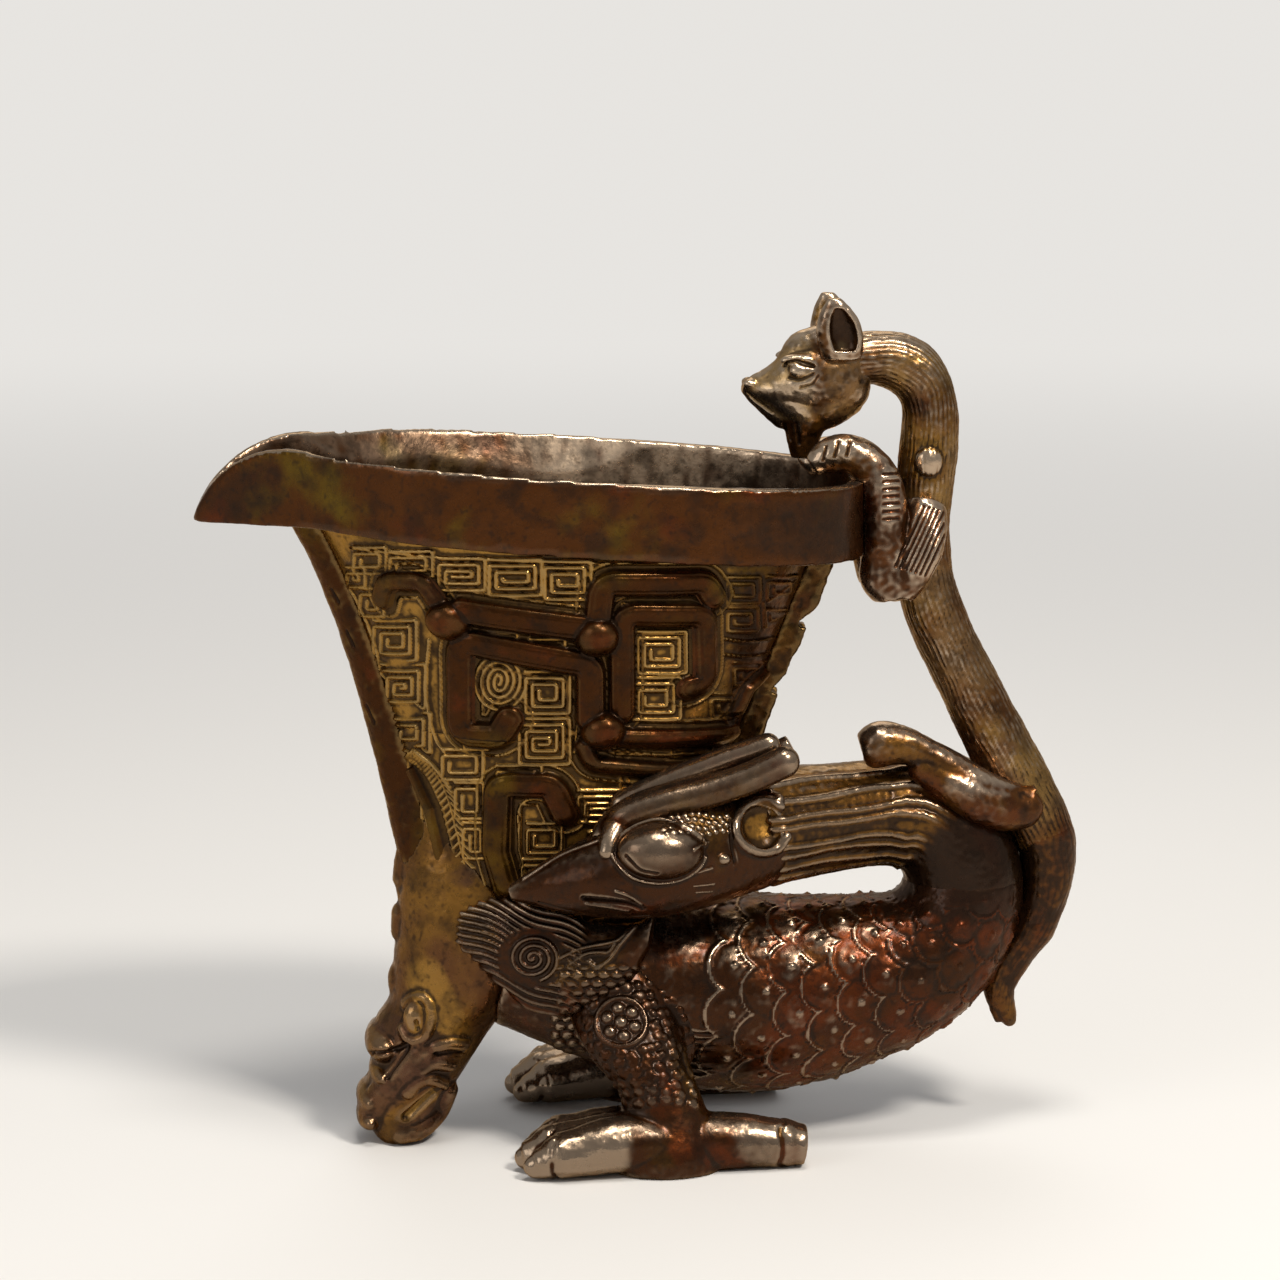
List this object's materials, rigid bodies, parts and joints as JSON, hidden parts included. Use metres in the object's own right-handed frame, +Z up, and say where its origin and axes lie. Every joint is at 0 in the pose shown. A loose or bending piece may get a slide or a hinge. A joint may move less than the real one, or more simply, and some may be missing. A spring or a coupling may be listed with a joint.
{
  "type": "bronze pouring cup",
  "caption": "Horn-shaped bronze pouring cup with a beak spout, carried by a bird and a dragon head, with a climbing beast as its handle.",
  "frame": {"origin": "on the floor under the middle of the object's box", "axes": "+X from the spout to the handle, +Y away from the viewer's side, +Z up"},
  "size_m": [0.1508, 0.061, 0.1449],
  "materials": {
    "patterned_bronze": "cast relief, dark in the hollows and worn golden on the ridges, waxed",
    "lip_bronze": "smooth cast and rubbed, brown patina with olive patches, waxed",
    "ochre_bronze": "cast and chased, ochre brown patina, waxed",
    "red_bronze": "cast scales and feathers, red brown patina, waxed",
    "dark_bronze": "cast and chased hair lines, dark brown patina, waxed",
    "dowel_bronze": "turned, bare metal"
  },
  "bodies": {
    "root": {"cup_wall": "patterned_bronze", "front_flange": "patterned_bronze", "rear_flange": "patterned_bronze", "rim_band": "lip_bronze", "dragon_head": "ochre_bronze", "bird_body": "red_bronze", "wing_near": "red_bronze", "wing_far": "red_bronze", "leg_near": "red_bronze", "leg_far": "red_bronze", "bird_neck": "red_bronze", "bird_head": "red_bronze", "crest_near": "red_bronze", "crest_far": "red_bronze", "beast_body": "dark_bronze", "beast_head": "dark_bronze", "beast_ear_near": "dark_bronze", "beast_ear_far": "dark_bronze", "beast_arm_near": "dark_bronze", "beast_arm_far": "dark_bronze", "beast_hind_leg_near": "dark_bronze", "beast_hind_leg_far": "dark_bronze", "beast_tail": "dark_bronze", "leg_dowel_near": "dowel_bronze", "leg_dowel_far": "dowel_bronze", "dragon_dowel": "dowel_bronze", "body_dowel": "dowel_bronze", "neck_dowel": "dowel_bronze", "head_dowel": "dowel_bronze", "hip_dowel": "dowel_bronze", "tail_dowel": "dowel_bronze", "beast_head_dowel": "dowel_bronze"}
  },
  "joints": []
}
